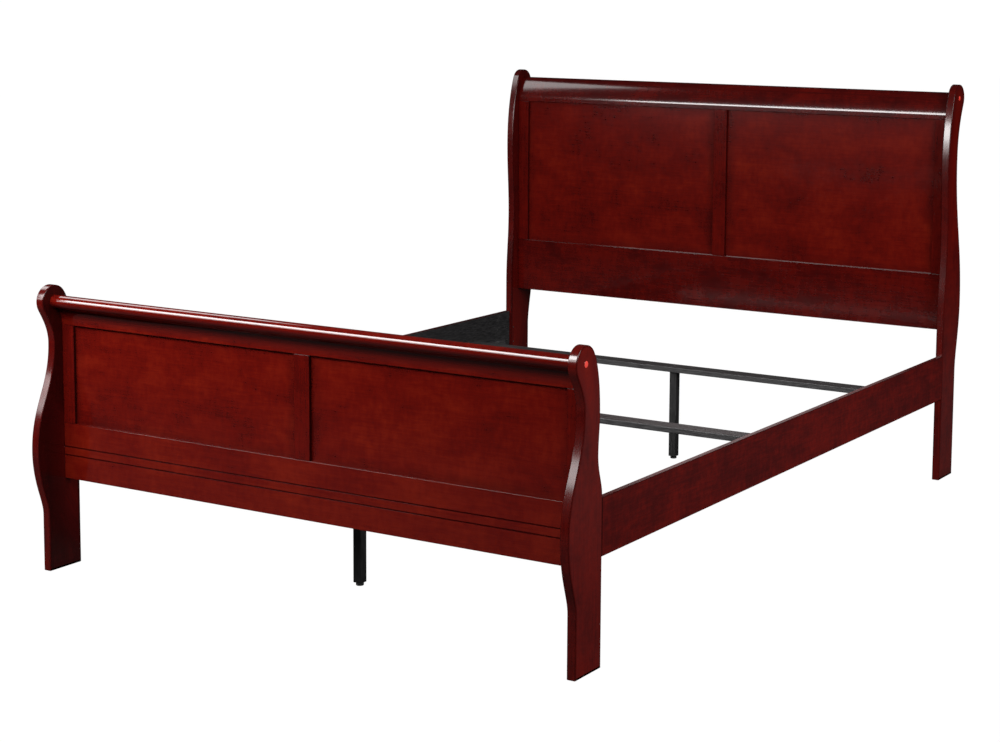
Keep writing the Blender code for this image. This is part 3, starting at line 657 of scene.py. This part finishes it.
# %% Carving
def block(name, lows, highs):
    """A plain box, used only to cut or to join, and then thrown away."""
    xs, ys, zs = np.array([lows, highs]).T
    ring = np.array([(xs[0], ys[0]), (xs[1], ys[0]), (xs[1], ys[1]), (xs[0], ys[1])])
    rings = np.stack([np.column_stack([ring, np.full(4, z)]) for z in zs])
    return ring_object(name, rings)


def rod(name, centre, radius, ends, sides=32):
    """A plain cylinder along X, through centre = (y, z)."""
    circle = arc(centre, radius, 0, 360, sides)[:-1]
    rings = np.stack([np.column_stack([np.full(sides, x), circle]) for x in ends])
    return ring_object(name, rings)


def shape(piece, tools, operation="DIFFERENCE"):
    """Cut tools out of piece, or join them to it, and bake the result into its mesh."""
    for tool in tools:
        step = piece.modifiers.new(tool.name, "BOOLEAN")
        step.operation, step.solver, step.object = operation, "EXACT", tool
    settle(piece)
    for tool in tools:
        bpy.data.objects.remove(tool, do_unlink=True)


# %% [markdown]
# ## Posts
#
# Each post gets its real joinery: a recess for the plug, a slot for the side rail's hooks and two
# holes for the pins that the hooks drop over.

# %% Posts
GAP = 0.0003
PAST = 0.002
HOOK_HEEL = 0.018
POST_EASE = 0.0026
OUTER_PAINTED_LIGHT = 0.02


def post_tools(board, label):
    """Cutters for one post, placed round the pieces that go into it."""
    side = 1 if label == "right" else -1
    tools = []
    for node in ("post_pin_%s_%s_lower" % (board, label), "post_pin_%s_%s_upper" % (board, label)):
        lows, highs = low(node), high(node)
        centre = (lows + highs)[1:] / 2
        radius = (highs - lows)[Z] / 2 + GAP
        ends = (side * (POST_INNER - PAST), side * (max(abs(lows[X]), abs(highs[X])) + GAP))
        tools.append(rod(node + "_hole", centre, radius, ends))
    plug = "%s_plug_%s" % (board, label)
    centre = (low(plug) + high(plug))[1:] / 2
    inner = min(abs(low(plug)[X]), abs(high(plug)[X])) - GAP
    tools.append(rod(plug + "_recess", centre, (high(plug) - low(plug))[Z] / 2 + GAP,
                     (side * inner, side * (POST_OUTER + PAST))))
    hook = "rail_hook_%s_%s" % (board, label)
    lows, highs = low(hook) - GAP, high(hook) + GAP
    face = HEAD_LEG_FACE if board == "headboard" else FOOT_LEG_FACE
    reach = highs[Y] if board == "headboard" else lows[Y]
    outside = face - PAST if board == "headboard" else face + PAST
    lows[Y], highs[Y] = sorted((outside, reach))
    tools.append(block(hook + "_slot", lows + (0, 0, HOOK_HEEL), highs))
    return tools


def make_posts(board, outline, face, outward, tone, inside):
    """Both posts of an end board, with painted shade on their mattress sides, by inside."""
    for label, side in (("left", -1), ("right", 1)):
        node = "%s_post_%s" % (board, label)
        ends = sorted((side * POST_INNER, side * POST_OUTER))
        rings, stain = board_rings(outline, *ends, POST_EASE, end_board_place(face, outward))
        tones = np.full((len(rings), 1), tone)
        first, last = slice(2), slice(-2, None)
        outer_face, inner_face = (last, first) if side > 0 else (first, last)
        # Painted light on the outer faces, and painted shade on the mattress-side faces.
        tones[outer_face] += OUTER_PAINTED_LIGHT
        tones[inner_face] -= inside
        post = ring_object(node + "_fine", rings, stain, tones)
        shape(post, post_tools(board, label))
        smooth(post)
        post.data.materials.clear()
        post.data.materials.append(POST_CHERRY)
        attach(post, "root")
        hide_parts(node)
        print(post.name, len(post.data.polygons), "faces")


make_posts("headboard", HEAD_OUTLINE, HEAD_LEG_FACE, 1, -0.24, 0.04)
make_posts("footboard", FOOT_OUTLINE, FOOT_LEG_FACE, -1, -0.18, 0.38)

# %% [markdown]
# ## Top rails
#
# A top rail is one leaning board with a rolled nose, concentric with the scrolls of its posts.
# Outside, a cove runs up under the nose. A groove along its foot takes the panels and stiles.

# %% Top rails
def top_rail_outline(setback, bottom, nose):
    """Section of a top rail, (outwards, up): cove, nose, lean, lip and panel groove."""
    nose_radius, over, fall, thick, ease = 0.017, 46, 0.020, 0.022, 0.0012
    cove_pull, nose_pull, lip_height = 0.022, (0.014, 0.002), 0.013
    outer_face = setback + thick
    under = nose - (0.0, nose_radius)
    first = corner((outer_face, bottom), (-1, 0), (0, 1), ease)
    rim = arc(nose, nose_radius, -90, 180 - over, 48)
    lip = np.array((setback, bottom + lip_height))
    groove, depth = 0.0033, 0.0085
    middle = setback + thick / 2
    return np.concatenate([
        first, bezier(first[-1], (outer_face, bottom + cove_pull), under - nose_pull, under),
        rim[1:], bezier(rim[-1], rim[-1] + heading(over) * fall, lip + (0.0, fall / 2), lip),
        corner((setback, bottom), (0, 1), (1, 0), ease),
        [(middle - groove, bottom), (middle - groove, bottom + depth),
         (middle + groove, bottom + depth), (middle + groove, bottom)]])


def cove_painted_shade(outline, setback, nose):
    """Share of painted shade at each point of a section: full in the cove under the nose.

    It fades in over 10 mm from just above the nose's middle, and out over 20 mm further down.
    """
    start, reach, face = 0.002, 0.048, 0.015
    below = np.clip((nose[1] + start - outline[:, 1]) / 0.010, 0, 1)
    above = np.clip((outline[:, 1] - nose[1] + reach) / 0.020, 0, 1)
    return below * above * (outline[:, 0] > setback + face)


def make_top_rail(board, face, outward, setback, nose, tone):
    """A top rail. Its cove is darker than the rest: painted shade under the nose."""
    node, ease, cove_shade = board + "_top_rail", 0.0004, 0.30
    outline = top_rail_outline(setback, low(node)[Z], nose)
    rings, _ = board_rings(outline, low(node)[X], high(node)[X], ease,
                           end_board_place(face, outward), 2)
    rail = ring_object(node + "_fine", rings, tone=tone - cove_shade * cove_painted_shade(outline, setback, nose))
    smooth(rail)
    rail.data.materials.append(ROLL_CHERRY[board])
    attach(rail, "root")
    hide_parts(node)
    print(rail.name, len(rail.data.polygons), "faces")


make_top_rail("headboard", HEAD_LEG_FACE, 1, 0.0405, HEAD_SCROLL, -0.25)
make_top_rail("footboard", FOOT_LEG_FACE, -1, 0.0300, FOOT_SCROLL, 0.02)

# %% [markdown]
# ## Flat boards
#
# The other boards are right already, with their tenons, tongues, grooves and pin holes, but their
# arrises are knife-sharp. A copy of each is welded, its long arrises are picked out, and a Bevel
# rounds only those, so the small holes keep their shape.

# %% Eased boards
# How dark the painted shade in V-grooves and on stiles' shadowed sides is, against 1 for an arris.
GROOVE_AND_SIDE_SHADE = 1.75


def eased_copy(node, radius, material, tone, segments=3, shaded_sides=False):
    """A copy of a solid with its long sharp edges rounded over."""
    piece = bpy.data.objects.new(node + "_eased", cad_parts[node].data.copy())
    bpy.context.scene.collection.objects.link(piece)
    bm = bmesh.new()
    bm.from_mesh(piece.data)
    bmesh.ops.remove_doubles(bm, verts=bm.verts, dist=1e-5)
    bmesh.ops.dissolve_limit(bm, angle_limit=np.radians(1.0), verts=bm.verts, edges=bm.edges)
    weight = bm.edges.layers.float.new("bevel_weight_edge")
    for edge in bm.edges:
        sharp = len(edge.link_faces) == 2 and edge.calc_face_angle_signed() > np.radians(60)
        edge[weight] = 1.0 if sharp and edge.calc_length() > 6 * radius else 0.0
    bm.to_mesh(piece.data)
    bm.free()
    piece.data.materials.clear()
    piece.data.materials.append(material)
    piece.data.materials.append(material)
    bevel = piece.modifiers.new("ease", "BEVEL")
    bevel.limit_method, bevel.width, bevel.segments, bevel.material = "WEIGHT", radius, segments, 1
    bevel.use_clamp_overlap = False
    settle(piece)
    mark_arrises(piece.data, tone, shaded_sides)
    smooth(piece, 35.0)
    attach(piece, "root")
    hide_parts(node)
    return piece


def mark_arrises(mesh, tone, shaded_sides):
    """Stain the rounded arrises, and paint shade, darker still, on the slanted sides of V-grooves.

    If asked, the narrow sides that face along X, in the shadow by a panel, get painted shade too.
    The Bevel gave the faces it made the second material. Then the board needs one again.
    """
    made = np.zeros(len(mesh.polygons), dtype=np.int32)
    mesh.polygons.foreach_get("material_index", made)
    normals = np.zeros(3 * len(made))
    mesh.polygons.foreach_get("normal", normals)
    shaded_faces = np.sort(np.abs(normals.reshape(-1, 3)), axis=1)[:, 1] > 0.3
    if shaded_sides:
        shaded_faces |= np.abs(normals[0::3]) > 0.9
    stain = np.where(made == 1, 1.0, np.where(shaded_faces, GROOVE_AND_SIDE_SHADE, 0.0))
    mesh.attributes.new("arris", "FLOAT", "FACE").data.foreach_set("value", stain)
    add_value(mesh, "tone", np.full(len(mesh.vertices), tone))
    mesh.polygons.foreach_set("material_index", np.zeros_like(made))
    mesh.materials.pop(index=1)


# The headboard's panels and stiles are a little darker in tone than the footboard's: painted shade.
for board, shade, foot_rail in (("headboard", -0.04, -0.20), ("footboard", 0.0, 0.08)):
    eased_copy(board + "_bottom_rail", 0.0012, RAIL_CHERRY, foot_rail)
    for label, change in (("left", -0.10), ("centre", -0.09), ("right", -0.10)):
        eased_copy("%s_stile_%s" % (board, label), 0.0008, STILE_CHERRY,
                   shade + change, shaded_sides=True)
    for label, change in (("left", 0.0), ("right", 0.03)):
        eased_copy("%s_panel_%s" % (board, label), 0.0005, PANEL_CHERRY[board],
                   shade + change, 2)
for label in ("left", "right"):
    eased_copy("side_rail_" + label, 0.0009, SIDE_RAIL_CHERRY, -0.25)
    eased_copy("slat_cleat_" + label, 0.0012, CLEAT_PAINT, 0.0)
for row in ("front", "middle", "rear"):
    eased_copy("slat_" + row, 0.0015, SLAT_PAINT, 0.0)
    eased_copy("centre_leg_" + row, 0.0012, LEG_PAINT, 0.0)
print("boards eased")

# %% [markdown]
# ## Turned pieces
#
# Plugs, levelling feet and screws are turned: a profile of radius and height, carried round an
# axis. The profile is written once and its length and place come from the solid it replaces.

# %% Turned shapes
def turned_rings(profile, sides=48):
    """Circles of each profile radius: (r cos a, r sin a, height), for the whole turn of a."""
    angles = np.linspace(0, 2 * np.pi, sides, endpoint=False)
    radius, height = profile[:, :1], profile[:, 1:]
    circles = np.broadcast_arrays(radius * np.cos(angles), radius * np.sin(angles), height)
    return np.stack(circles, axis=-1)


def turned(node, profile, turn, material, body="root", tools=()):
    """A turned copy of a solid. turn(rings) brings the rings to their place on the bed."""
    piece = ring_object(node + "_turned", turn(turned_rings(profile)))
    shape(piece, tools)
    smooth(piece, 35.0)
    piece.data.materials.clear()
    piece.data.materials.append(material)
    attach(piece, body)
    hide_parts(node)
    return piece


def eased_profile(radius, bottom, top, ease):
    """Radius and height up the side of a disc whose two rims are quarter circles."""
    lower = arc((radius - ease, bottom + ease), ease, -90, 0, 5)
    upper = arc((radius - ease, top - ease), ease, 0, 90, 5)
    return np.concatenate([[(radius * 0.1, bottom)], lower, upper])


# %% Plugs
def make_plug(node):
    """A wooden button over the top rail's screw: a slightly crowned disc."""
    lows, highs = low(node), high(node)
    radius, side = (highs - lows)[Z] / 2, np.sign(highs[X] + lows[X])
    depth, crown, step = highs[X] - lows[X], 0.001, 0.0004
    rim = eased_profile(radius, 0.0, depth - crown, 0.0003)
    swing = np.radians(np.linspace(12, 84, 8))
    dome = np.stack([(radius - step) * np.cos(swing),
                     depth - crown + crown * np.sin(swing) / np.sin(swing[-1])], 1)
    centre = (lows + highs) / 2
    start = min(abs(lows[X]), abs(highs[X]))

    def turn(rings):
        along = side * (start + rings[..., 2])
        return np.stack([along, centre[Y] + rings[..., 0], centre[Z] + rings[..., 1]], -1)

    return turned(node, np.concatenate([rim, dome]), turn, PLUG_CHERRY)


for board in ("headboard", "footboard"):
    for label in ("left", "right"):
        make_plug("%s_plug_%s" % (board, label))
print("plugs turned")

# %% Levelling feet
def upright(node):
    """Rings turned about a vertical axis through the middle of a solid, from its lowest point."""
    lows, highs = low(node), high(node)

    def turn(rings):
        return rings + ((lows + highs)[X] / 2, (lows + highs)[Y] / 2, lows[Z])
    return turn, highs[Z] - lows[Z]


def make_foot(row):
    """A moulded pad on a threaded stud. The thread is drawn as rings with a 1.25 mm pitch."""
    node = "levelling_foot_" + row
    turn, height = upright(node)
    pad_radius, pad, pad_ease = 0.010, 0.006, 0.0012
    stud, depth, pitch, tip_radius = 0.004, 0.00035, 0.00125, 0.0025
    ups = np.arange(pad + 0.0004, height - 0.0008, pitch / 6)
    thread = np.stack([stud - depth * (0.5 - 0.5 * np.cos(2 * np.pi * ups / pitch)), ups], 1)
    profile = np.concatenate([eased_profile(pad_radius, 0.0, pad, pad_ease), thread,
                              [(tip_radius, height)]])
    return turned(node, profile, turn, MOULDED, "foot_" + row)


for row in ("front", "middle", "rear"):
    print(row, "foot:", len(make_foot(row).data.polygons), "faces")

# %% Screws in the slats
def make_leg_screw(row):
    """A pan head with a cross recess, and a plain shank that runs down into the leg."""
    node = "leg_screw_" + row
    turn, height = upright(node)
    head, thick, shank = 0.0065, 0.0035, 0.003
    swing = np.radians(np.linspace(0, 80, 9))
    dome = np.stack([head * 0.35 + head * 0.65 * np.cos(swing),
                     height - thick * 0.6 + thick * 0.6 * np.sin(swing) / np.sin(swing[-1])], 1)
    profile = np.concatenate([[(0.0006, 0.0), (shank * 0.5, 0.002), (shank, 0.007),
                               (shank, height - thick), (head, height - thick)], dome])
    axis = (low(node) + high(node)) / 2 * (1, 1, 0)
    top, arm, web = high(node)[Z], 0.0026, 0.0005
    bars = [block(name, axis + (-wide, -deep, top - sunk), axis + (wide, deep, top + PAST))
            for name, wide, deep, sunk in (("cross_a", arm, web, 0.0016), ("cross_b", web, arm, 0.0014))]
    return turned(node, profile, turn, ZINC, tools=bars)


for row in ("front", "middle", "rear"):
    make_leg_screw(row)
print("screws turned")

# %% Hidden steel
for node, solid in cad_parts.items():
    if node.startswith(("post_pin", "rail_pin", "rail_hook")):
        solid.data.materials.clear()
        solid.data.materials.append(ZINC)
print("steel plated")
